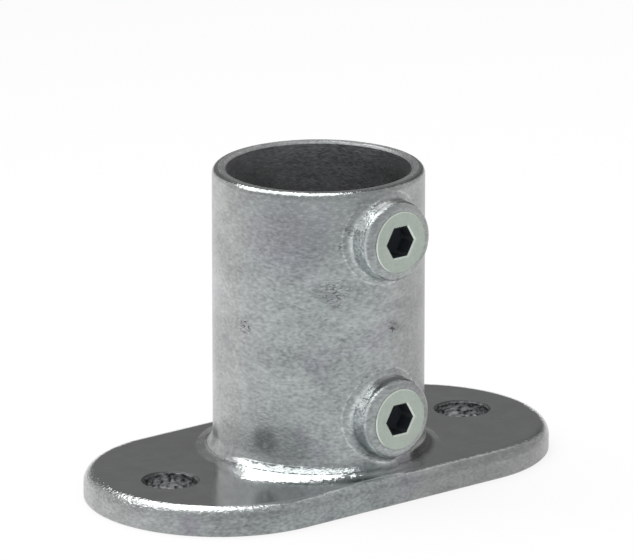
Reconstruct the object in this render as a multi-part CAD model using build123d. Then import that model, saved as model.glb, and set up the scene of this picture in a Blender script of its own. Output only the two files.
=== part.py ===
from build123d import *
import os

# Tube clamp base flange: one cast flange and the two set screws that grip the tube.
#
# +Z runs up the socket, +X along the plate, and the screws face -Y. The origin is the centre of
# the plate's underside, on the socket's axis. All sizes are in millimetres.

# Tube socket
TUBE_DIAMETER = 48.3
TUBE_CLEARANCE = 0.6  # radial, between the tube and the bore
SOCKET_WALL = 3.6
SOCKET_TOP = 84.8  # height of the rim above the underside of the plate
RIM_ROUND = 1.7
MOUTH_CHAMFER = 0.6
STOP_THICKNESS = 6.0  # ledge at the foot of the bore, on which the tube stands
DRAIN_DIAMETER = 38.0

# Base plate
PLATE_LENGTH = 140.0
PLATE_WIDTH = 73.0
PLATE_THICKNESS = 7.5
PLATE_TOP_ROUND = 3.4
PLATE_UNDER_CHAMFER = 0.4
FOOT_FILLET = 4.5

# Fixing holes
FIXING_SPACING = 101.0
FIXING_DIAMETER = 14.4
FIXING_EDGE_CHAMFER = 0.6

# Bosses that carry the set screws
RIM_TO_UPPER_SCREW = 13.6
PLATE_TO_LOWER_SCREW = 15.0
BOSS_DIAMETER = 21.6
BOSS_HEIGHT = 5.65  # from the socket's outer surface to the flat end of the boss
BOSS_SHOULDER = 2.0
BOSS_FILLET = 2.0

# Set screws with a 3/8 inch pipe thread, which is left plain here
THREAD_DIAMETER = 16.66
THREAD_CLEARANCE = 0.05  # radial, so that the screw runs in its hole
SCREW_PROUD = 0.4  # how far the screw stands out of its boss
SCREW_END_CHAMFER = 0.3
TIP_SETBACK = 0.25  # from the bore's surface back to the screw's tip
TIP_DIAMETER = 12.4
CUP_DIAMETER = 8.6
CUP_DEPTH = 1.2
KEY_SIZE = 8.0  # across the flats of the hexagon
KEY_DEPTH = 5.0
KEY_MOUTH_CHAMFER = 0.4

BORE_RADIUS = TUBE_DIAMETER / 2 + TUBE_CLEARANCE
SOCKET_RADIUS = BORE_RADIUS + SOCKET_WALL
BOSS_END = SOCKET_RADIUS + BOSS_HEIGHT
SCREW_END = BOSS_END + SCREW_PROUD
SCREW_TIP = BORE_RADIUS + TIP_SETBACK
SCREW_RADIUS = THREAD_DIAMETER / 2
SCREW_HEIGHTS = {
    "upper": SOCKET_TOP - RIM_TO_UPPER_SCREW,
    "lower": PLATE_THICKNESS + PLATE_TO_LOWER_SCREW,
}

FROM_BASE = (Align.CENTER, Align.CENTER, Align.MIN)


def screw_axis(height, distance):
    """Plane across a screw's axis, at a distance from the socket's axis, facing outwards."""
    return Plane(origin=(0, -distance, height), x_dir=(1, 0, 0), z_dir=(0, -1, 0))


def plate_blank():
    """Plate with half-round ends, a large round on its top edge and a small chamfer below."""
    blank = extrude(SlotOverall(PLATE_LENGTH, PLATE_WIDTH), PLATE_THICKNESS)
    blank = fillet(blank.faces().sort_by(Axis.Z)[-1].edges(), PLATE_TOP_ROUND)
    return chamfer(blank.faces().sort_by(Axis.Z)[0].edges(), PLATE_UNDER_CHAMFER)


def socket_blank():
    """Solid post with a rounded rim, and a fillet at its foot that runs out on the plate."""
    plate_flat = PLATE_WIDTH / 2 - PLATE_TOP_ROUND
    fillet_radius = min(FOOT_FILLET, plate_flat - SOCKET_RADIUS)
    foot = (SOCKET_RADIUS + fillet_radius, PLATE_THICKNESS)
    wall_start = (SOCKET_RADIUS, PLATE_THICKNESS + fillet_radius)
    wall_end = (SOCKET_RADIUS, SOCKET_TOP - RIM_ROUND)
    rim = (SOCKET_RADIUS - RIM_ROUND, SOCKET_TOP)
    outline = Polyline(rim, (0, SOCKET_TOP), (0, 0), (foot[0], 0), foot)
    outline += RadiusArc(foot, wall_start, fillet_radius)
    outline += Line(wall_start, wall_end)
    outline += RadiusArc(wall_end, rim, -RIM_ROUND)
    return revolve(Plane.XZ * make_face(outline), Axis.Z)


def boss_blank(height):
    """Round boss with a soft shoulder, which starts inside the socket's wall."""
    length = BOSS_END - BORE_RADIUS
    blank = screw_axis(height, BORE_RADIUS) * Cylinder(BOSS_DIAMETER / 2, length, align=FROM_BASE)
    return fillet(blank.edges().sort_by(Axis.Y)[0], BOSS_SHOULDER)


def is_boss_root(edge):
    """Tell the curve where a boss leaves the wall from the circles of the post and the boss."""
    return edge.geom_type not in (GeomType.CIRCLE, GeomType.LINE)


def flange_casting():
    """Casting with its plate, socket and bosses in one, then bored, drilled and tapped."""
    casting = socket_blank()
    for height in SCREW_HEIGHTS.values():
        casting += boss_blank(height)
    wall_above = RIM_TO_UPPER_SCREW - BOSS_DIAMETER / 2
    wall_below = PLATE_TO_LOWER_SCREW - BOSS_DIAMETER / 2
    root_fillet = min(BOSS_FILLET, wall_above, wall_below / 2)
    casting = fillet(casting.edges().filter_by(is_boss_root), root_fillet)
    casting += plate_blank()

    bore_length = SOCKET_TOP - STOP_THICKNESS
    casting -= Pos(0, 0, STOP_THICKNESS) * Cylinder(BORE_RADIUS, bore_length, align=FROM_BASE)
    mouth = casting.faces().sort_by(Axis.Z)[-1].edges().sort_by(SortBy.RADIUS)[0]
    casting = chamfer(mouth, MOUTH_CHAMFER)
    casting -= Cylinder(DRAIN_DIAMETER / 2, STOP_THICKNESS, align=FROM_BASE)

    for side in (-1, 1):
        place = Pos(side * FIXING_SPACING / 2, 0, 0)
        casting -= place * Cylinder(FIXING_DIAMETER / 2, PLATE_THICKNESS, align=FROM_BASE)
    plate_top = casting.faces().filter_by(Plane.XY).group_by(Axis.Z)[2]
    hole_edges = plate_top.edges().filter_by(lambda e: e.is_closed and abs(e.center().X) > SOCKET_RADIUS)
    casting = chamfer(hole_edges, FIXING_EDGE_CHAMFER)

    tapped_radius = SCREW_RADIUS + THREAD_CLEARANCE
    for height in SCREW_HEIGHTS.values():
        casting -= screw_axis(height, 0) * Cylinder(tapped_radius, SCREW_END, align=FROM_BASE)
    return casting


def set_screw(height):
    """Cup-point set screw with a hexagon socket, as it stands in its boss."""
    length = SCREW_END - SCREW_TIP
    tip_radius = TIP_DIAMETER / 2
    body = Polyline(
        (0, CUP_DEPTH),
        (CUP_DIAMETER / 2, 0),
        (tip_radius, 0),
        (SCREW_RADIUS, SCREW_RADIUS - tip_radius),
        (SCREW_RADIUS, length - SCREW_END_CHAMFER),
        (SCREW_RADIUS - SCREW_END_CHAMFER, length),
        (0, length),
        close=True,
    )
    screw = revolve(Plane.XZ * make_face(body), Axis.Z)
    key = RegularPolygon(KEY_SIZE / 2, 6, major_radius=False)
    screw -= Pos(0, 0, length) * extrude(key, -KEY_DEPTH)
    mouth = screw.faces().sort_by(Axis.Z)[-1].edges().filter_by(GeomType.LINE)
    screw = chamfer(mouth, KEY_MOUTH_CHAMFER)
    return screw_axis(height, SCREW_TIP) * screw


os.makedirs("parts", exist_ok=True)
export_step(flange_casting(), "parts/flange_casting.step")
for position, height in SCREW_HEIGHTS.items():
    export_step(set_screw(height), f"parts/set_screw_{position}.step")
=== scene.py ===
from math import cos, pi, radians, sin, tan

import bmesh
import bpy
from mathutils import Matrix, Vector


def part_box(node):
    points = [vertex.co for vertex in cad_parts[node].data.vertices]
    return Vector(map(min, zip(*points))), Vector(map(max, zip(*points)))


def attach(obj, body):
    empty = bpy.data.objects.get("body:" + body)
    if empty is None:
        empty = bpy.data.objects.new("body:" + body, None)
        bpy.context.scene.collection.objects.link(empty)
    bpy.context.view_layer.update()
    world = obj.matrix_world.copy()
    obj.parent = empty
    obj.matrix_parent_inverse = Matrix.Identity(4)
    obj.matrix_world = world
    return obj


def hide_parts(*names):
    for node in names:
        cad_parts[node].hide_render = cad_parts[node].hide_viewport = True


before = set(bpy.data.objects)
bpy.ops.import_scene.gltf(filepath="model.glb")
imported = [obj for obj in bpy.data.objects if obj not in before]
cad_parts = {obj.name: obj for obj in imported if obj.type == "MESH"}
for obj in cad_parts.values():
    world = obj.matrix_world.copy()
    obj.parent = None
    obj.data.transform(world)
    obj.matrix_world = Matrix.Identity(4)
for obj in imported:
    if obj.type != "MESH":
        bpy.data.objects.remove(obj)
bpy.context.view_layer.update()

bpy.ops.object.select_all(action="DESELECT")


# ---------------------------------------------------------------------------------------------
# The viewpoint: a long lens from the front left of the flange and from above, so that both set
# screws and the whole plate show. It stands two metres off and looks 16 degrees down.
# ---------------------------------------------------------------------------------------------
VIEW_TURN = radians(-39.25)
VIEW_DROP = radians(16.28)
VIEW_DISTANCE = 2.0153
VIEW_AIM = (-0.0001, 0.0007, 0.0531)
LENS = 429.8
SENSOR_WIDTH = 36
VIEW_END = 50

bpy.ops.object.camera_add(
    location=(
        VIEW_AIM[0] + VIEW_DISTANCE * cos(VIEW_DROP) * sin(VIEW_TURN),
        VIEW_AIM[1] - VIEW_DISTANCE * cos(VIEW_DROP) * cos(VIEW_TURN),
        VIEW_AIM[2] + VIEW_DISTANCE * sin(VIEW_DROP),
    ),
    rotation=(pi / 2 - VIEW_DROP, 0, VIEW_TURN),
)
camera = bpy.context.object
camera.data.lens = LENS
camera.data.sensor_width = SENSOR_WIDTH
camera.data.clip_end = VIEW_END
bpy.context.scene.camera = camera
bpy.context.scene.view_settings.view_transform = "Standard"


# ---------------------------------------------------------------------------------------------
# The studio: a white floor in a plain grey room, and one long softbox. It hangs steeply above
# the flange, a little to its left, and makes the bright lines on the rounds.
# ---------------------------------------------------------------------------------------------
FLOOR_SIZE = 9
FLOOR_COLOUR = (0.88, 0.88, 0.88, 1)
FLOOR_WHITENING = 0.83  # share of plain white that the camera and the metal see in the floor
SOFTBOX_HEIGHT = 1.37
SOFTBOX_WIDTH = 1.00
SOFTBOX_LENGTH = 1.85
SOFTBOX_ASIDE = -0.135  # to the left of the flange, as the camera sees it
SOFTBOX_BEHIND = 0.037
SOFTBOX_TILT = radians(65.5)  # from level, with its far end lower
SOFTBOX_TURN = radians(38.4)  # how far its far end is swung to the left
SOFTBOX_RADIANCE = 2.5
ROOM_BEHIND = 0.17
ROOM_BESIDE = 0.78
ROOM_DARK_RISE = radians(30)  # how high above the horizon the dark part of the room is
ROOM_DARK_EDGE = (0.74, 0.92)  # cosines from its middle between which it sets in


class Wire:
    """A shader node's output. Arithmetic on it adds Math nodes to the same node tree."""

    def __init__(self, socket):
        self.socket = socket

    def _math(self, operation, first, second):
        nodes = Nodes(self.socket.id_data)
        return nodes.add("ShaderNodeMath", {"operation": operation}, {0: first, 1: second})

    def __add__(self, other):
        return self._math("ADD", self, other)

    def __radd__(self, other):
        return self._math("ADD", other, self)

    def __sub__(self, other):
        return self._math("SUBTRACT", self, other)

    def __rsub__(self, other):
        return self._math("SUBTRACT", other, self)

    def __mul__(self, other):
        return self._math("MULTIPLY", self, other)

    def __rmul__(self, other):
        return self._math("MULTIPLY", other, self)

    def __pow__(self, other):
        return self._math("POWER", self, other)

    def __abs__(self):
        return self._math("ABSOLUTE", self, 0)

    def rise(self, low, high):
        """0 below low, 1 above high, with a smooth step between them."""
        nodes = Nodes(self.socket.id_data)
        return nodes.add(
            "ShaderNodeMapRange",
            {"interpolation_type": "SMOOTHSTEP"},
            {"Value": self, "From Min": low, "From Max": high},
        )

    def fall(self, low, high):
        """1 below low, 0 above high, with a smooth step between them."""
        return 1 - self.rise(low, high)


class Nodes:
    """The node tree of a material or world. add() makes any node and returns its output."""

    def __init__(self, tree):
        self.tree = tree

    def add(self, kind, settings=None, inputs=None, output=0):
        node = self.tree.nodes.new(kind)
        for name, value in (settings or {}).items():
            setattr(node, name, value)
        for name, value in (inputs or {}).items():
            if isinstance(value, Wire):
                self.tree.links.new(value.socket, node.inputs[name])
            else:
                node.inputs[name].default_value = value
        return Wire(node.outputs[output]) if node.outputs else None


def measure(nodes, operation, first, second=(0, 0, 0)):
    """A number worked out from vectors: a LENGTH, a DISTANCE or a DOT_PRODUCT."""
    return nodes.add(
        "ShaderNodeVectorMath", {"operation": operation}, {0: first, 1: second}, output="Value"
    )


bpy.ops.mesh.primitive_plane_add(size=FLOOR_SIZE)
floor = bpy.context.object
floor.name = "studio_floor"
floor_paint = bpy.data.materials.new("studio_floor")
floor_paint.use_nodes = True
floor_paint.node_tree.nodes.clear()
nodes = Nodes(floor_paint.node_tree)
is_camera = nodes.add("ShaderNodeLightPath", output="Is Camera Ray")
is_glossy = nodes.add("ShaderNodeLightPath", output="Is Glossy Ray")
is_transmitted = nodes.add("ShaderNodeLightPath", output="Is Transmission Ray")
seen = is_camera + is_glossy + is_transmitted
matt = nodes.add("ShaderNodeBsdfDiffuse", inputs={"Color": FLOOR_COLOUR})
glow = nodes.add("ShaderNodeEmission", inputs={"Color": (1, 1, 1, 1), "Strength": 1})
surface = nodes.add(
    "ShaderNodeMixShader", inputs={"Fac": seen * FLOOR_WHITENING, 1: matt, 2: glow}
)
nodes.add("ShaderNodeOutputMaterial", inputs={"Surface": surface})
floor.data.materials.append(floor_paint)

bpy.ops.object.light_add(
    type="AREA",
    location=(
        SOFTBOX_ASIDE * cos(VIEW_TURN) - SOFTBOX_BEHIND * sin(VIEW_TURN),
        SOFTBOX_ASIDE * sin(VIEW_TURN) + SOFTBOX_BEHIND * cos(VIEW_TURN),
        SOFTBOX_HEIGHT,
    ),
    rotation=(-SOFTBOX_TILT, 0, VIEW_TURN + SOFTBOX_TURN),
)
softbox = bpy.context.object.data
softbox.shape = "RECTANGLE"
softbox.size = SOFTBOX_WIDTH
softbox.size_y = SOFTBOX_LENGTH
softbox.energy = SOFTBOX_RADIANCE * pi * SOFTBOX_WIDTH * SOFTBOX_LENGTH

room = bpy.data.worlds.new("studio_room")
room.use_nodes = True
room.node_tree.nodes.clear()
bpy.context.scene.world = room
nodes = Nodes(room.node_tree)
direction = nodes.add("ShaderNodeTexCoord", output="Generated")
dark_middle = (
    -sin(VIEW_TURN) * cos(ROOM_DARK_RISE),
    cos(VIEW_TURN) * cos(ROOM_DARK_RISE),
    sin(ROOM_DARK_RISE),
)
behind = measure(nodes, "DOT_PRODUCT", direction, dark_middle)
is_camera = nodes.add("ShaderNodeLightPath", output="Is Camera Ray")
grey = ROOM_BESIDE + (ROOM_BEHIND - ROOM_BESIDE) * behind.rise(*ROOM_DARK_EDGE)
brightness = grey + (1 - grey) * is_camera
walls = nodes.add(
    "ShaderNodeBackground", inputs={"Color": (1, 1, 1, 1), "Strength": brightness}
)
nodes.add("ShaderNodeOutputWorld", inputs={"Surface": walls})


# ---------------------------------------------------------------------------------------------
# The flange casting: base plate, tube socket and the two screw bosses, cast in one piece in iron
# and hot-dip galvanised. The zinc lies smooth on the plate's top, on the fillets and the rounds,
# and mottled on the socket's wall and the plate's edge. The bore and the fixing holes are rough.
# Light and shade are also painted into the zinc's colour in places, as marked below.
# ---------------------------------------------------------------------------------------------
SOCKET_RADIUS = 0.02835
BORE_RADIUS = 0.02475
SOCKET_TOP = 0.0848
RIM_ROUND = 0.0017
PLATE_TOP = 0.0075
PLATE_END = 0.0335  # from the middle to the centre of each half-round end
PLATE_EDGE = 0.0331  # from the plate's middle line to where its top starts to round off
FOOT_RADIUS = 0.0045
HOLE_PLACE = 0.0505
HOLE_RADIUS = 0.0072
HOLE_CHAMFER = 0.0006
BOSS_RADIUS = 0.0108
BOSS_ROUND = 0.0020  # both at its root and at its shoulder
SCREW_BOXES = {position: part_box(f"set_screw_{position}") for position in ("upper", "lower")}
SCREW_HEIGHTS = {
    position: (low.z + high.z) / 2 for position, (low, high) in SCREW_BOXES.items()
}

WALL_COLOUR = (0.350, 0.376, 0.378, 1)
LIT_SIDE_COLOUR = (0.368, 0.376, 0.373, 1)  # painted light: a warmer grey on the wall on the bright side and opposite it, where it catches more light
# Smoother zinc, and painted light: faces that point up get about twice the wall's brightness.
SMOOTH_LIT_COLOUR = (0.69, 0.705, 0.705, 1)
STAIN_COLOUR = (0.29, 0.28, 0.33, 1)  # faint purple patches in the zinc
BORE_COLOUR = (0.30, 0.305, 0.31, 1)
# Painted shade: the chamfers round the fixing holes are painted nearly black, so that they show no
# highlight.
SHADED_LIP_COLOUR = (0.085, 0.087, 0.087, 1)
HOLE_COLOUR = (0.20, 0.205, 0.21, 1)
WALL_ROUGHNESS = 0.30
SMOOTH_ROUGHNESS = 0.11
BORE_ROUGHNESS = 0.50
HOLE_ROUGHNESS = 0.50
MOTTLE_ROUGHNESS = 0.05  # this and the next five are added to those above
DULL_FOOT_ROUGHNESS = 0.25
LEFT_BLOB_ROUGHNESS = 0.12
BOSS_ROUGHNESS = 0.08
BOSS_LINE_ROUGHNESS = 0.15
RIM_TOP_ROUGHNESS = 0.16

# The zinc's patterns: how large they are, how strong they show and how high they stand.
STRETCH = 1.9  # streaks are this much longer than they are high
STREAK_LENGTH = 0.0013
MOTTLE_SIZE = 0.0050
CLOUD_SIZE = 0.016
SPARKLE_SIZE = 0.0009
SPECKLE_SIZE = 0.0012
STAIN_SIZE = 0.011
STAIN_LIMITS = (0.15, 0.50)
STAIN_STRENGTH = 0.4
WRINKLE_SIZE = 0.0022
WRINKLE_STRETCH = 3
WRINKLE_LINE = (0.04, 0.22)
WRINKLE_BREAKS = (-0.25, 0.05)
SMUDGE_BASE = 0.7
SMUDGE_MOTTLE = 0.8
SMUDGE_WRINKLES = 0.5
SPOT_CORE = 0.4  # share of a spot's radius that is full
WALL_STREAKS = 0.57
SIDE_STREAKS = 0.36
WALL_MOTTLE = 0.24
WALL_CLOUDS = 0.27
SMOOTH_STREAKS = 0.20
FLAT_STREAKS = 0.06
SMOOTH_MOTTLE = 0.10
SMOOTH_CLOUDS = 0.05
SPECKLE_STRENGTH = 2.6
SPARKLE_HEIGHT = 0.000045
MOTTLE_HEIGHT = 0.000020
SPECKLE_HEIGHT = 0.00006
FLAT_RELIEF = 0.07  # share of the sparkle's height that is left on the flat top
BOSS_RELIEF = 1.8
EDGE_RELIEF = 1.5  # added on the plate's edge, on its rough side

# Where one zone gives way to the next. Slopes are two upward parts of the normal.
HAIR = 0.0001  # borders between the zones are a few of these wide
SMOOTH_SLOPES = (0.15, 0.50)
LIGHT_SLOPES = (0.80, 0.98)
FLAT_SLOPES = (0.97, 0.995)
BOSS_ZONE = (0.0200, 0.0220)  # distances in front of the socket's axis
BOSS_ROOT_HALF = (0.0305, 0.0318)  # likewise
UNDERSIDE_SLOPES = (0.20, 0.70)  # downward parts of the normal
BOSS_CROWN_SLOPES = (0.70, 0.95)
BOSS_LINE_SLOPES = (0.75, 0.90)
BOSS_RING_SLOPES = (0, 0.40)
RING_BREAKS = (-0.70, 0.30)
FLANK_SLOPES = (0.65, 0.85)
FLANK_TURNS = (0.30, 0.85)  # forward parts of the normal
GLINT_TURNS = (0.60, 0.90)  # twice the leftward times the upward part of the normal
GLINT_BREAKS = (-0.35, 0.05)
LOWER_WALL = (0.055, 0.080)  # heights, below which the painted light on the bright side is stronger
SHADED_END = (0.010, 0.035)  # along the plate

# Sides of the casting: a turn from +X, and the two cosines from it between which it sets in.
BRIGHT_SIDE = radians(141)
ASIDE = (0.30, 0.95)  # from the bright side, or from the side opposite it
RIPPLE_SIDE = (radians(-146), 0.72, 0.76)
LEFT_BLOB_SIDE = (radians(160), 0.84, 0.99)
UNDER_BOSS_SIDE = (radians(-100), 0.80, 0.92)
BACK_SIDE = (radians(50), -0.10, 0.35)
ROUGH_EDGE_SIDE = (radians(-160), 0.40, 0.60)
SHADED_EDGE_SIDE = (radians(-110), 0.30, 1)

# Painted light and painted shade: how much lighter than plain zinc each zone is, or darker where it
# is below zero.
BRIGHT_SIDE_LIGHT = 0.21
LOWER_WALL_LIGHT = 0.07
BOSS_FLANK_LIGHT = 0.85
BOSS_RING_LIGHT = 0.40
BOSS_LINE_LIGHT = -0.55
BOSS_UNDERSIDE_LIGHT = 0.20
GROOVE_LIGHT = -0.45
SHADED_FOOT_LIGHT = -0.20
LEFT_BLOB_LIGHT = 0.15
RIM_TOP_LIGHT = -0.05
SHADED_EDGE_LIGHT = -0.16

# How light the fixing holes are, where 1 is plain, and the darkest that the zinc gets anywhere.
HOLE_DEPTH_LEVEL = 1.35
HOLE_TOP_LEVEL = 0.55
HOLE_MIDDLE = 0.0035  # the height from which they darken towards the top
DARKEST_LEVEL = 0.15

# Marks on the socket: degrees round it from +X, height, radius and darkness.
SCUFFS = (
    (-126.0, 0.0584, 0.0040, 0.45),
    (-117.5, 0.0590, 0.0042, 0.50),
    (-121.0, 0.0552, 0.0030, 0.45),
    (-172.4, 0.0465, 0.0027, 0.75),
    (-85.5, 0.0464, 0.0022, 0.75),
    (-113.2, 0.0743, 0.0026, 0.50),
    (-116.5, 0.0703, 0.0016, 0.60),
)
# Smudges in the zinc, and one patch of painted shade.
SMUDGES_AND_SHADE = (
    (-159.0, 0.0165, 0.0050, 0.35),
    (-148.0, 0.0150, 0.0100, 0.22),
    # painted shade: a soft dark cloud high on the front of the wall
    (-127.0, 0.0850, 0.0260, 0.25),
    (153.0, 0.0125, 0.0045, 0.45),
)
WALL_STAIN = (-147.5, 0.0720)
WALL_STAIN_RADIUS = 0.0150
WALL_STAIN_STRENGTH = 0.9
EDGE_STAIN = (-0.0623, -0.0225, 0.0030)
EDGE_STAIN_RADIUS = 0.0040
EDGE_STAIN_STRENGTH = 1.6

# The zinc has run together into a ripple at the foot, in front and to the left. It is as steep
# as RIPPLE_NORMAL all along, and ends on the plate at a circle that is off the socket's axis.
RIPPLE_NORMAL = (-0.44, -0.44, 0.78)
RIPPLE_SLOPES = (0.46, 0.60)
RIPPLE_REACH = (0.0200, 0.0230)  # how far it goes in the direction of BRIGHT_SIDE
RIPPLE_CENTRE = (-0.0095, -0.0010, 0)
RIPPLE_EDGE = (0.0267, 0.0275)  # distance from that centre
RIPPLE_RAGGED_SLOPE = 0.22
RIPPLE_RAGGED_REACH = 0.0040
RIPPLE_RAGGED_EDGE = 0.0045
RIPPLE_LEAN = 0.0050  # it reaches less far where it is flatter
RIPPLE_LEAN_SLOPE = 0.60
GROOVE_SLOPE = 0.79
GROOVE_WIDTH = (0.018, 0.035)
GROOVE_BREAKS = (-0.15, 0.05)
LEFT_BLOB_SLOPES = (0.55, 1)
LEFT_BLOB_LIMITS = (0, 0.50)
FLATTENED_SLOPES = (0.35, 0.65)
RAGGEDNESS = 0.6

# How far the zinc leans the casting's normals, where 1 is halfway to the new direction.
FOOT_LEAN = 5
GLINT_LEAN = 0.50
CROWN_LEAN = 0.45
RIM_LEAN = -0.10
EDGE_LEAN = 0.10


def part(nodes, whole, axis):
    """The X, Y or Z part of a vector."""
    return nodes.add("ShaderNodeSeparateXYZ", inputs={0: whole}, output=axis)


def vector(nodes, operation, first, second=(0, 0, 0)):
    """A vector worked out from one or two others."""
    return nodes.add("ShaderNodeVectorMath", {"operation": operation}, {0: first, 1: second})


def scaled(nodes, whole, factor):
    """A vector or a colour times a number."""
    return nodes.add(
        "ShaderNodeVectorMath", {"operation": "SCALE"}, {0: whole, "Scale": factor}
    )


def squeezed(nodes, place, scale):
    """A place with each of its three parts scaled."""
    return nodes.add("ShaderNodeMapping", inputs={"Vector": place, "Scale": scale})


def tilt(nodes, normal, direction, amount):
    """The normal leant towards a direction."""
    leant = vector(nodes, "ADD", normal, scaled(nodes, direction, amount))
    return vector(nodes, "NORMALIZE", leant)


def toward(nodes, direction, turn):
    """A level direction times the one at turn round the socket: a cosine, or a reach."""
    return measure(nodes, "DOT_PRODUCT", direction, (cos(turn), sin(turn), 0))


def on_side(nodes, direction, side):
    """0 to 1 as a level direction comes round to one of the casting's sides."""
    turn, start, full = side
    return toward(nodes, direction, turn).rise(start, full)


def grain(nodes, place, size, detail=2):
    """Noise from about -1 to 1, with blobs of about half of size."""
    noise = nodes.add(
        "ShaderNodeTexNoise", inputs={"Vector": place, "Scale": 1 / size, "Detail": detail}
    )
    return (noise - 0.5) * 2


def blend(nodes, first, second, share):
    """A colour between two, with share of the second."""
    return nodes.add(
        "ShaderNodeMix", {"data_type": "RGBA"}, {"Factor": share, 6: first, 7: second}, output=2
    )


def on_wall(degrees, height):
    """A point on the socket's outer wall."""
    turn = radians(degrees)
    return (SOCKET_RADIUS * cos(turn), SOCKET_RADIUS * sin(turn), height)


def spot(nodes, place, centre, radius):
    """1 near the centre, falling to 0 at radius."""
    return measure(nodes, "DISTANCE", place, centre).fall(SPOT_CORE * radius, radius)


def nearest_screw(nodes, place):
    """Distance from the nearer screw's axis."""
    distances = []
    for height in SCREW_HEIGHTS.values():
        centred = nodes.add(
            "ShaderNodeMapping",
            inputs={"Vector": place, "Location": (0, 0, -height), "Scale": (1, 0, 1)},
        )
        distances.append(measure(nodes, "LENGTH", centred))
    return nodes.add(
        "ShaderNodeMath", {"operation": "MINIMUM"}, {0: distances[0], 1: distances[1]}
    )


class ZincCoat:
    """The zinc on the casting, told apart by where a point lies and which way it faces."""

    def __init__(self, nodes):
        self.nodes = nodes
        self.find_place()
        self.draw_patterns()
        self.mark_plate_and_socket()
        self.mark_bosses()
        self.mark_foot()

    def find_place(self):
        """Where the point lies, and the parts of its normal."""
        nodes = self.nodes
        self.place = nodes.add("ShaderNodeTexCoord", output="Object")
        self.along = part(nodes, self.place, "X")
        self.front = 0 - part(nodes, self.place, "Y")
        self.height = part(nodes, self.place, "Z")
        self.normal = nodes.add("ShaderNodeNewGeometry", output="Normal")
        self.left = 0 - part(nodes, self.normal, "X")
        self.fore = 0 - part(nodes, self.normal, "Y")
        self.up = part(nodes, self.normal, "Z")
        self.level_place = squeezed(nodes, self.place, (1, 1, 0))
        self.outwards = vector(nodes, "NORMALIZE", self.level_place)
        self.from_axis = measure(nodes, "LENGTH", self.level_place)
        self.from_hole = ((abs(self.along) - HOLE_PLACE) ** 2 + self.front * self.front) ** 0.5
        self.from_screw = nearest_screw(nodes, self.place)
        middle_line = squeezed(nodes, self.place, (1, 0, 0))
        middle_line = vector(nodes, "MAXIMUM", middle_line, (-PLATE_END, 0, 0))
        middle_line = vector(nodes, "MINIMUM", middle_line, (PLATE_END, 0, 0))
        to_edge = vector(nodes, "SUBTRACT", self.level_place, middle_line)
        self.edgewards = vector(nodes, "NORMALIZE", to_edge)
        self.from_middle = measure(nodes, "LENGTH", to_edge)

    def draw_patterns(self):
        """Streaks, mottle and clouds in the zinc, its fine relief, its stains and wrinkles."""
        nodes = self.nodes
        lengthways = squeezed(nodes, self.place, (1, 1, STRETCH))
        self.streaks = grain(nodes, lengthways, STREAK_LENGTH, detail=1.5)
        self.mottle = grain(nodes, lengthways, MOTTLE_SIZE)
        self.clouds = grain(nodes, lengthways, CLOUD_SIZE, detail=1)
        self.sparkle = grain(nodes, lengthways, SPARKLE_SIZE)
        self.speckle = grain(nodes, lengthways, SPECKLE_SIZE)
        self.ragged = RAGGEDNESS * self.streaks + RAGGEDNESS * self.sparkle
        brushed = squeezed(nodes, self.place, (1, 1, WRINKLE_STRETCH))
        wrinkles = abs(grain(nodes, brushed, WRINKLE_SIZE, detail=1)).fall(*WRINKLE_LINE)
        self.wrinkles = wrinkles * self.streaks.rise(*WRINKLE_BREAKS)
        edge_stain = spot(nodes, self.place, EDGE_STAIN, EDGE_STAIN_RADIUS)
        wall_stain = spot(nodes, self.place, on_wall(*WALL_STAIN), WALL_STAIN_RADIUS)
        stains = grain(nodes, self.place, STAIN_SIZE).rise(*STAIN_LIMITS)
        stains = stains + EDGE_STAIN_STRENGTH * edge_stain
        self.stains = stains + WALL_STAIN_STRENGTH * wall_stain

    def mark_plate_and_socket(self):
        """Zones of the plate and the socket, each from 0 to 1."""
        self.smooth = self.up.rise(*SMOOTH_SLOPES)
        # Painted light, partly: faces that point up take the lighter smooth colour.
        self.lit_top = self.up.rise(*LIGHT_SLOPES)
        self.flat = self.up.rise(*FLAT_SLOPES)
        self.hole = self.from_hole.fall(HOLE_RADIUS + HAIR, HOLE_RADIUS + 3 * HAIR)
        lip_radius = HOLE_RADIUS + HOLE_CHAMFER
        self.lip = self.from_hole.fall(lip_radius, lip_radius + HAIR) * (1 - self.flat)
        self.bore = self.from_axis.fall(BORE_RADIUS + 2 * HAIR, BORE_RADIUS + 6 * HAIR)
        rim_flat = SOCKET_RADIUS - RIM_ROUND
        self.rim = self.height.rise(SOCKET_TOP - RIM_ROUND, SOCKET_TOP - 12 * HAIR)
        # The rim's flat top: rougher, and darkened a little with painted shade.
        self.rim_top = self.rim * self.from_axis.fall(rim_flat, rim_flat + 3 * HAIR)
        self.plate_side = self.from_middle.rise(PLATE_EDGE + 20 * HAIR, PLATE_EDGE + 32 * HAIR)
        self.edge = self.from_middle.rise(PLATE_EDGE - 8 * HAIR, PLATE_EDGE)
        self.edge = self.edge * self.height.fall(PLATE_TOP, PLATE_TOP + 5 * HAIR)
        self.leftwards = toward(self.nodes, self.outwards, BRIGHT_SIDE)
        self.aside = abs(self.leftwards).rise(*ASIDE)

    def mark_bosses(self):
        """Zones of the bosses: the side, the lines round it with painted shade and a painted
        highlight, the painted light on its flanks and underside, and the light that it catches.
        """
        root_radius = BOSS_RADIUS + BOSS_ROUND
        self.boss = self.from_screw.fall(root_radius, root_radius + 4 * HAIR)
        self.boss = self.boss * self.front.rise(*BOSS_ZONE)
        self.boss_side = self.boss * self.from_screw.rise(BOSS_RADIUS - 4 * HAIR, BOSS_RADIUS)
        # Painted light: the sides of the bosses that face sideways are painted lighter.
        self.lit_flank = self.boss_side * self.fore.fall(*FLANK_TURNS) * self.up.fall(*FLANK_SLOPES)
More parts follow.
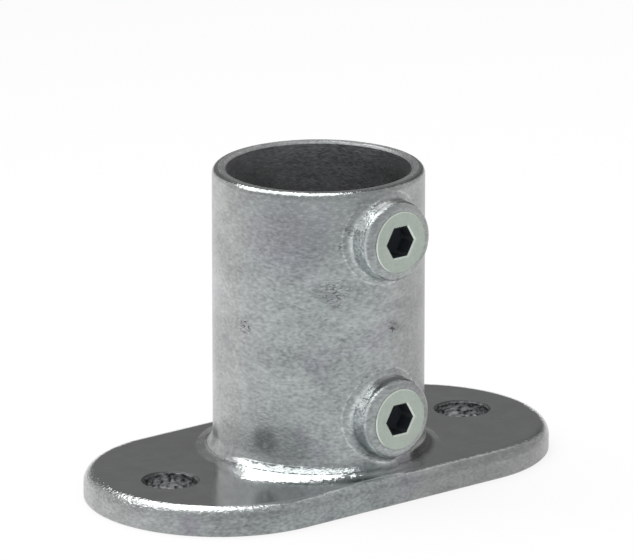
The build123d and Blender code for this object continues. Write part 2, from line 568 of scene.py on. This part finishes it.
        # Painted light: the undersides of the bosses are painted lighter.
        self.lit_underside = self.boss * (0 - self.up).rise(*UNDERSIDE_SLOPES)
        root_half = self.boss_side * self.front.fall(*BOSS_ROOT_HALF)
        self.glint = root_half * (2 * self.left * self.up).rise(*GLINT_TURNS)
        self.glint = self.glint * self.ragged.rise(*GLINT_BREAKS)
        self.crown = root_half * self.up.rise(*BOSS_CROWN_SLOPES) * (1 - self.glint)
        # Painted shade: a dark line along the top of each boss, where its side meets the shoulder.
        self.shade_line = self.boss * abs(self.from_screw - BOSS_RADIUS).fall(HAIR, 4 * HAIR)
        self.shade_line = self.shade_line * self.up.rise(*BOSS_LINE_SLOPES)
        # A painted highlight: a lighter, broken ring round the root of each boss.
        self.highlight_ring = self.boss * abs(self.from_screw - root_radius).fall(HAIR, 5 * HAIR)
        self.highlight_ring = self.highlight_ring * self.up.fall(*BOSS_RING_SLOPES)
        self.highlight_ring = self.highlight_ring * self.streaks.rise(*RING_BREAKS)

    def mark_foot(self):
        """The fillet at the foot, with the ripple, its broken groove, and a soft blob on the left."""
        nodes = self.nodes
        foot_top = PLATE_TOP + FOOT_RADIUS
        foot_edge = SOCKET_RADIUS + FOOT_RADIUS
        low = self.height.fall(foot_top, foot_top + 5 * HAIR)
        self.foot = low * self.from_axis.fall(foot_edge, foot_edge + 3 * HAIR)

        # The groove across the ripple: it breaks the ripple, and painted shade darkens it.
        self.groove = abs(self.up - GROOVE_SLOPE).fall(*GROOVE_WIDTH)
        self.groove = self.groove * self.streaks.rise(*GROOVE_BREAKS)
        reach = toward(nodes, self.level_place, BRIGHT_SIDE) + RIPPLE_RAGGED_REACH * self.ragged
        reach = reach + RIPPLE_LEAN * (self.up - RIPPLE_LEAN_SLOPE)
        from_centre = measure(nodes, "DISTANCE", self.level_place, RIPPLE_CENTRE)
        from_centre = from_centre + RIPPLE_RAGGED_EDGE * self.ragged
        steepness = self.up + RIPPLE_RAGGED_SLOPE * self.ragged
        ripple = on_side(nodes, self.outwards, RIPPLE_SIDE) * low * (1 - self.bore)
        ripple = ripple * reach.fall(*RIPPLE_REACH) * from_centre.fall(*RIPPLE_EDGE)
        self.ripple = ripple * steepness.rise(*RIPPLE_SLOPES) * (1 - self.groove)

        # A soft blob on the fillet at the left: rougher, with painted light on its slope.
        self.left_blob = self.foot * on_side(nodes, self.outwards, LEFT_BLOB_SIDE)
        self.left_blob_slope = self.left_blob * self.up.fall(*LEFT_BLOB_SLOPES)
        in_front = 1 - on_side(nodes, self.outwards, BACK_SIDE)
        in_front = in_front * (1 - on_side(nodes, self.outwards, UNDER_BOSS_SIDE))
        bare = self.foot * (1 - self.ripple)
        self.flattened = bare * in_front * self.up.rise(*FLATTENED_SLOPES)
        self.flattened = self.flattened * self.left_blob_slope.fall(*LEFT_BLOB_LIMITS)
        # The bare fillet away from the ripple: rougher, and darkened with painted shade.
        self.dull_shaded_foot = bare * (1 - self.flattened) * self.smooth

    def level(self):
        """How light the zinc is, from place to place, with painted light and painted shade in many
        zones.
        """
        wall_streaks = WALL_STREAKS + (SIDE_STREAKS - WALL_STREAKS) * self.aside
        wall = 1 + wall_streaks * self.streaks
        wall = wall + WALL_MOTTLE * self.mottle + WALL_CLOUDS * self.clouds
        # Painted light: the wall is painted lighter towards the bright side, and more so low down.
        side_light = BRIGHT_SIDE_LIGHT + LOWER_WALL_LIGHT * self.height.fall(*LOWER_WALL)
        wall = wall * (1 + side_light * self.leftwards * self.leftwards * self.leftwards)
        smooth_streaks = SMOOTH_STREAKS + (FLAT_STREAKS - SMOOTH_STREAKS) * self.flat
        smooth = 1 + smooth_streaks * self.streaks
        smooth = smooth + SMOOTH_MOTTLE * self.mottle + SMOOTH_CLOUDS * self.clouds
        level = wall + (smooth - wall) * self.lit_top

        for degrees, height, radius, darkness in SCUFFS:
            scuff = spot(self.nodes, self.place, on_wall(degrees, height), radius)
            level = level * (1 - darkness * scuff * self.wrinkles)
        smeared = SMUDGE_BASE + SMUDGE_MOTTLE * self.mottle + SMUDGE_WRINKLES * self.wrinkles
        for degrees, height, radius, darkness in SMUDGES_AND_SHADE:
            smudge_and_shade = spot(self.nodes, self.place, on_wall(degrees, height), radius)
            level = level * (1 - darkness * smudge_and_shade * smeared)

        level = level * (1 + BOSS_FLANK_LIGHT * self.lit_flank) * (1 + BOSS_RING_LIGHT * self.highlight_ring)
        level = level * (1 + BOSS_LINE_LIGHT * self.shade_line)
        level = level * (1 + BOSS_UNDERSIDE_LIGHT * self.lit_underside)
        level = level * (1 + GROOVE_LIGHT * self.groove * self.foot)
        level = level * (1 + SHADED_FOOT_LIGHT * self.dull_shaded_foot)
        level = level * (1 + LEFT_BLOB_LIGHT * self.left_blob_slope * self.smooth)
        level = level * (1 + RIM_TOP_LIGHT * self.rim_top)
        shaded = on_side(self.nodes, self.edgewards, SHADED_EDGE_SIDE)
        shaded = shaded * self.along.fall(*SHADED_END)
        level = level * (1 + SHADED_EDGE_LIGHT * self.plate_side * shaded)

        toward_top = self.height.rise(HOLE_MIDDLE, PLATE_TOP)
        in_hole = HOLE_DEPTH_LEVEL + (HOLE_TOP_LEVEL - HOLE_DEPTH_LEVEL) * toward_top
        in_hole = in_hole * (1 + SPECKLE_STRENGTH * self.speckle)
        level = level + (in_hole - level) * self.hole
        return self.nodes.add(
            "ShaderNodeMath", {"operation": "MAXIMUM"}, {0: level, 1: DARKEST_LEVEL}
        )

    def colour(self):
        """The zinc's colours, zone over zone, times how light it is, painted light and shade
        included.
        """
        colour = blend(self.nodes, WALL_COLOUR, LIT_SIDE_COLOUR, self.aside)
        colour = blend(self.nodes, colour, STAIN_COLOUR, STAIN_STRENGTH * self.stains)
        colour = blend(self.nodes, colour, SMOOTH_LIT_COLOUR, self.lit_top)
        colour = blend(self.nodes, colour, BORE_COLOUR, self.bore)
        colour = blend(self.nodes, colour, SHADED_LIP_COLOUR, self.lip)
        colour = blend(self.nodes, colour, HOLE_COLOUR, self.hole)
        return scaled(self.nodes, colour, self.level())

    def roughness(self):
        """Smooth where the zinc could run level, and rough in the holes and the bore."""
        roughness = WALL_ROUGHNESS + (SMOOTH_ROUGHNESS - WALL_ROUGHNESS) * self.smooth
        roughness = roughness + MOTTLE_ROUGHNESS * self.mottle
        roughness = roughness + DULL_FOOT_ROUGHNESS * self.dull_shaded_foot
        roughness = roughness + LEFT_BLOB_ROUGHNESS * self.left_blob * self.smooth
        roughness = roughness + BOSS_ROUGHNESS * self.boss * self.smooth
        roughness = roughness + BOSS_LINE_ROUGHNESS * self.shade_line
        roughness = roughness + RIM_TOP_ROUGHNESS * self.rim_top
        roughness = roughness + (HOLE_ROUGHNESS - roughness) * self.lip
        roughness = roughness + (HOLE_ROUGHNESS - roughness) * self.hole
        return roughness + (BORE_ROUGHNESS - roughness) * self.bore

    def bumped_normal(self):
        """The normal as the zinc's thickness bends it, with the fine relief on it."""
        nodes = self.nodes
        normal = tilt(nodes, self.normal, (0, 0, 1), FOOT_LEAN * self.flattened)
        normal = tilt(nodes, normal, RIPPLE_NORMAL, FOOT_LEAN * self.ripple)
        normal = tilt(nodes, normal, (0, -1, 0), GLINT_LEAN * self.glint)
        normal = tilt(nodes, normal, (0, -1, 0), CROWN_LEAN * self.crown)
        normal = tilt(nodes, normal, self.outwards, RIM_LEAN * self.rim)
        normal = tilt(nodes, normal, self.edgewards, EDGE_LEAN * self.edge)
        rough_edge = self.edge * on_side(nodes, self.edgewards, ROUGH_EDGE_SIDE)
        relief = (1 + (FLAT_RELIEF - 1) * self.flat) * (1 + (BOSS_RELIEF - 1) * self.boss)
        relief = (relief + EDGE_RELIEF * rough_edge) * self.sparkle * SPARKLE_HEIGHT
        relief = relief + self.mottle * MOTTLE_HEIGHT * (1 - self.smooth)
        relief = relief + self.hole * self.speckle * SPECKLE_HEIGHT
        return nodes.add("ShaderNodeBump", inputs={"Height": relief, "Distance": 1, "Normal": normal})


zinc = bpy.data.materials.new("galvanised_casting")
zinc.use_nodes = True
zinc.node_tree.nodes.clear()
nodes = Nodes(zinc.node_tree)
coat = ZincCoat(nodes)
shader = nodes.add(
    "ShaderNodeBsdfPrincipled",
    inputs={
        "Base Color": coat.colour(),
        "Metallic": 1,
        "Roughness": coat.roughness(),
        "Normal": coat.bumped_normal(),
    },
)
nodes.add("ShaderNodeOutputMaterial", inputs={"Surface": shader})
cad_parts["flange_casting"].material_slots[0].material = zinc


# ---------------------------------------------------------------------------------------------
# The two set screws: turned steel with a 3/8 inch pipe thread, a hexagon socket and a cup point
# that bites the tube. They sit in the bosses, zinc plated with a faint green passivation.
# ---------------------------------------------------------------------------------------------
SCREW_BOX = SCREW_BOXES["upper"]
SCREW_RADIUS = (SCREW_BOX[1].x - SCREW_BOX[0].x) / 2
SCREW_LENGTH = SCREW_BOX[1].y - SCREW_BOX[0].y
THREAD_PITCH = 0.0254 / 19
THREAD_ROOT_RADIUS = 0.007475
THREAD_CREST = 0.00018
THREAD_FLANK = radians(27.5)
RIDGE_START = 0.0073  # a little inside the root, so that the ridge joins the core
COLLAR = 0.0006  # plain end, before the thread starts
END_CHAMFER = 0.0003
TIP_RADIUS = 0.0062
CUP_RADIUS = 0.0043
CUP_DEPTH = 0.0012
KEY_SIZE = 0.008
KEY_DEPTH = 0.005
KEY_CHAMFER = 0.0004
DRILL_DEPTH = 0.0014
ROUND_SIDES = 96
THREAD_STEPS = 64
OVERLAP = 0.0001  # how far shapes that are joined or cut reach past each other
SPARE_LENGTH = 0.0010  # how far the core stands out of the envelope at each end
CUT_CLEANING = 0.000003  # corners closer than this, left by the cuts, are joined

PLATING_COLOUR = (0.385, 0.432, 0.388, 1)
ROOT_COLOUR = (0.20, 0.22, 0.20, 1)
# Painted shade: the hexagon socket is painted nearly black, as a deep recess in shade.
SHADED_KEY_COLOUR = (0.013, 0.018, 0.026, 1)
PLATING_ROUGHNESS = 0.28
KEY_ROUGHNESS = 0.50  # added in the hexagon socket
PLATING_CLOUD_SIZE = 0.004
PLATING_GRAIN_SIZE = 0.0009
PLATING_CONTRAST = 0.10
CLOUD_ROUGHNESS = 0.05
RING_WIDTH = 0.0007
RING_CONTRAST = 0.16
RING_HEIGHT = 0.000002
PLATING_GRAIN_HEIGHT = 0.0000015
CHAMFER_HIGHLIGHT = 0.60  # painted highlight: how much lighter the chamfers at the outer end are
CHAMFER_SLOPES = (-0.95, -0.80)  # Y parts of their normals
SMOOTH_ANGLE = radians(28)
END_FACING = 0.9  # the least upright part of an end face's normal


def apply_modifiers(piece):
    """Make a piece's modifiers part of its mesh."""
    bpy.context.view_layer.objects.active = piece
    for modifier in list(piece.modifiers):
        bpy.ops.object.modifier_apply(modifier=modifier.name)


def combine(piece, tool, operation):
    """Join, cut or intersect a piece with a tool, which is used up."""
    modifier = piece.modifiers.new("combine", "BOOLEAN")
    modifier.operation = operation
    modifier.solver = "EXACT"
    modifier.object = tool
    apply_modifiers(piece)
    bpy.data.objects.remove(tool)


def select_faces(piece, wanted):
    """In edit mode, select the faces for which wanted(face) is true."""
    bpy.ops.mesh.select_mode(type="FACE")
    bpy.ops.mesh.select_all(action="DESELECT")
    mesh = bmesh.from_edit_mesh(piece.data)
    for face in mesh.faces:
        face.select_set(wanted(face))
    bmesh.update_edit_mesh(piece.data)


def cylinder(name, radius, low, high, sides=ROUND_SIDES):
    """Upright cylinder between two heights, with its corners starting on the X axis."""
    bpy.ops.mesh.primitive_cylinder_add(
        vertices=sides,
        radius=radius,
        depth=high - low,
        location=(0, 0, (low + high) / 2),
        rotation=(0, 0, pi / 2),
    )
    piece = bpy.context.object
    piece.name = name
    bpy.ops.object.transform_apply(location=True, rotation=True)
    return piece


def thread_ridge():
    """The thread's ridge as one helix, swept from its section, with both ends closed."""
    middle = (RIDGE_START + SCREW_RADIUS + OVERLAP) / 2
    depth = SCREW_RADIUS + OVERLAP - RIDGE_START
    base = THREAD_CREST + 2 * depth * tan(THREAD_FLANK)
    bpy.ops.mesh.primitive_plane_add(size=1, rotation=(pi / 2, 0, 0))
    ridge = bpy.context.object
    ridge.scale = (depth, base, 1)
    ridge.location = (middle, 0, -SCREW_LENGTH - THREAD_PITCH)
    bpy.ops.object.transform_apply(location=True, rotation=True, scale=True)
    bpy.ops.object.mode_set(mode="EDIT")
    bpy.ops.mesh.select_mode(type="VERT")
    bpy.ops.mesh.select_all(action="DESELECT")
    mesh = bmesh.from_edit_mesh(ridge.data)
    for vertex in mesh.verts:
        vertex.select_set(vertex.co.x > middle)
    bmesh.update_edit_mesh(ridge.data)
    bpy.ops.transform.resize(value=(1, 1, THREAD_CREST / base))
    bpy.ops.mesh.select_all(action="SELECT")
    bpy.ops.mesh.delete(type="ONLY_FACE")
    bpy.ops.object.mode_set(mode="OBJECT")
    sweep = ridge.modifiers.new("sweep", "SCREW")
    sweep.axis = "Z"
    sweep.angle = 2 * pi
    sweep.screw_offset = THREAD_PITCH
    sweep.iterations = int((SCREW_LENGTH + THREAD_PITCH) / THREAD_PITCH) + 1
    sweep.steps = THREAD_STEPS
    sweep.render_steps = THREAD_STEPS
    apply_modifiers(ridge)
    bpy.ops.object.mode_set(mode="EDIT")
    bpy.ops.mesh.select_all(action="SELECT")
    bpy.ops.mesh.fill_holes(sides=4)
    bpy.ops.mesh.select_all(action="SELECT")
    bpy.ops.mesh.normals_make_consistent(inside=False)
    bpy.ops.object.mode_set(mode="OBJECT")
    return ridge


def screw_envelope():
    """The turned blank: chamfered at its outer end, and coned and cupped at its tip."""
    blank = cylinder("screw_envelope", SCREW_RADIUS, -SCREW_LENGTH, 0)
    bpy.ops.object.mode_set(mode="EDIT")
    select_faces(blank, lambda face: face.normal.z > END_FACING)
    bpy.ops.mesh.bevel(offset=END_CHAMFER, offset_type="OFFSET", affect="EDGES")
    select_faces(blank, lambda face: face.normal.z < -END_FACING)
    bpy.ops.mesh.bevel(offset=SCREW_RADIUS - TIP_RADIUS, offset_type="OFFSET", affect="EDGES")
    select_faces(blank, lambda face: face.normal.z < -END_FACING)
    bpy.ops.mesh.inset(thickness=TIP_RADIUS - CUP_RADIUS)
    bpy.ops.mesh.extrude_region_move(TRANSFORM_OT_translate={"value": (0, 0, CUP_DEPTH)})
    bpy.ops.mesh.merge(type="CENTER")
    bpy.ops.object.mode_set(mode="OBJECT")
    return blank


def key_cutter():
    """The hexagon socket as a solid: flared at its mouth and drilled to a cone at its end."""
    corner = KEY_SIZE / 2 / cos(pi / 6)
    flare = (KEY_SIZE / 2 + KEY_CHAMFER) / (KEY_SIZE / 2)
    cutter = cylinder("key_cutter", corner, -KEY_DEPTH, -KEY_CHAMFER, sides=6)
    bpy.ops.object.mode_set(mode="EDIT")
    select_faces(cutter, lambda face: face.normal.z > END_FACING)
    for _ in range(2):  # the flare, and as much again above the screw's end
        bpy.ops.mesh.extrude_region_move(TRANSFORM_OT_translate={"value": (0, 0, KEY_CHAMFER)})
        bpy.ops.transform.resize(value=(flare, flare, 1))
    bpy.ops.object.mode_set(mode="OBJECT")
    bpy.ops.mesh.primitive_cone_add(
        vertices=ROUND_SIDES,
        radius1=0,
        radius2=KEY_SIZE / 2 - OVERLAP,
        depth=DRILL_DEPTH,
        location=(0, 0, -KEY_DEPTH - DRILL_DEPTH / 2 + OVERLAP),
    )
    drill = bpy.context.object
    bpy.ops.object.transform_apply(location=True)
    combine(cutter, drill, "UNION")
    return cutter


def zinc_plated_steel():
    """Plated turned steel: faint rings on the end, a painted highlight on the outer chamfer, a dark
    thread root, and a key socket painted nearly black as shade.
    """
    plating = bpy.data.materials.new("zinc_plated_steel")
    plating.use_nodes = True
    plating.node_tree.nodes.clear()
    nodes = Nodes(plating.node_tree)
    place = nodes.add("ShaderNodeTexCoord", output="Object")
    depth = part(nodes, place, "Y") - SCREW_BOX[0].y
    from_axis = nearest_screw(nodes, place)
    rings = nodes.add(
        "ShaderNodeTexNoise",
        {"noise_dimensions": "1D"},
        {"W": from_axis, "Scale": 1 / RING_WIDTH, "Detail": 1},
    )
    cloud = grain(nodes, place, PLATING_CLOUD_SIZE)
    fine = grain(nodes, place, PLATING_GRAIN_SIZE)
    in_key = from_axis.fall(KEY_SIZE / 2 + 2 * HAIR, KEY_SIZE / 2 + 9 * HAIR)
    in_key = in_key * depth.rise(KEY_CHAMFER, KEY_CHAMFER + 2 * HAIR)
    at_root = from_axis.fall(THREAD_ROOT_RADIUS + HAIR, THREAD_ROOT_RADIUS + 5 * HAIR)
    at_root = at_root * depth.rise(COLLAR, COLLAR + 2 * HAIR)
    slope = part(nodes, nodes.add("ShaderNodeNewGeometry", output="Normal"), "Y")
    # Painted highlight on the chamfer at the screw's outer end.
    lit_chamfer = slope.rise(*CHAMFER_SLOPES) * depth.fall(KEY_CHAMFER, KEY_CHAMFER + HAIR)
    level = 1 + PLATING_CONTRAST * cloud + PLATING_CONTRAST * fine + RING_CONTRAST * (rings - 0.5)
    level = level * (1 + CHAMFER_HIGHLIGHT * lit_chamfer)
    colour = blend(nodes, PLATING_COLOUR, ROOT_COLOUR, at_root)
    colour = blend(nodes, colour, SHADED_KEY_COLOUR, in_key)
    colour = scaled(nodes, colour, level)
    relief = rings * RING_HEIGHT + fine * PLATING_GRAIN_HEIGHT
    bumped = nodes.add("ShaderNodeBump", inputs={"Height": relief, "Distance": 1})
    shader = nodes.add(
        "ShaderNodeBsdfPrincipled",
        inputs={
            "Base Color": colour,
            "Metallic": 1 - in_key,
            "Roughness": PLATING_ROUGHNESS + CLOUD_ROUGHNESS * cloud + KEY_ROUGHNESS * in_key,
            "Normal": bumped,
        },
    )
    nodes.add("ShaderNodeOutputMaterial", inputs={"Surface": shader})
    return plating


def set_screw():
    """One set screw, upright, with its outer end at the origin."""
    core_end = -SCREW_LENGTH - SPARE_LENGTH
    screw = cylinder("set_screw", THREAD_ROOT_RADIUS, core_end, SPARE_LENGTH)
    combine(screw, thread_ridge(), "UNION")
    collar_top = SPARE_LENGTH + 2 * OVERLAP
    combine(screw, cylinder("collar", SCREW_RADIUS + OVERLAP, -COLLAR, collar_top), "UNION")
    combine(screw, screw_envelope(), "INTERSECT")
    combine(screw, key_cutter(), "DIFFERENCE")
    bpy.ops.object.select_all(action="DESELECT")
    screw.select_set(True)
    bpy.ops.object.mode_set(mode="EDIT")
    bpy.ops.mesh.select_all(action="SELECT")
    bpy.ops.mesh.remove_doubles(threshold=CUT_CLEANING)
    bpy.ops.mesh.dissolve_degenerate(threshold=CUT_CLEANING)
    bpy.ops.object.mode_set(mode="OBJECT")
    return screw


plating = zinc_plated_steel()
pattern = set_screw()
for position, height in SCREW_HEIGHTS.items():
    screw = pattern.copy()
    screw.data = pattern.data.copy()
    bpy.context.collection.objects.link(screw)
    screw.name = f"set_screw_{position}_threaded"
    screw.location = (0, SCREW_BOX[0].y, height)
    screw.rotation_euler = (pi / 2, 0, 0)
    bpy.ops.object.select_all(action="DESELECT")
    screw.select_set(True)
    bpy.context.view_layer.objects.active = screw
    bpy.ops.object.transform_apply(location=True, rotation=True)
    bpy.ops.object.shade_smooth_by_angle(angle=SMOOTH_ANGLE)
    screw.data.materials.clear()
    screw.data.materials.append(plating)
    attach(screw, f"{position}_screw")
    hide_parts(f"set_screw_{position}")
bpy.data.objects.remove(pattern)
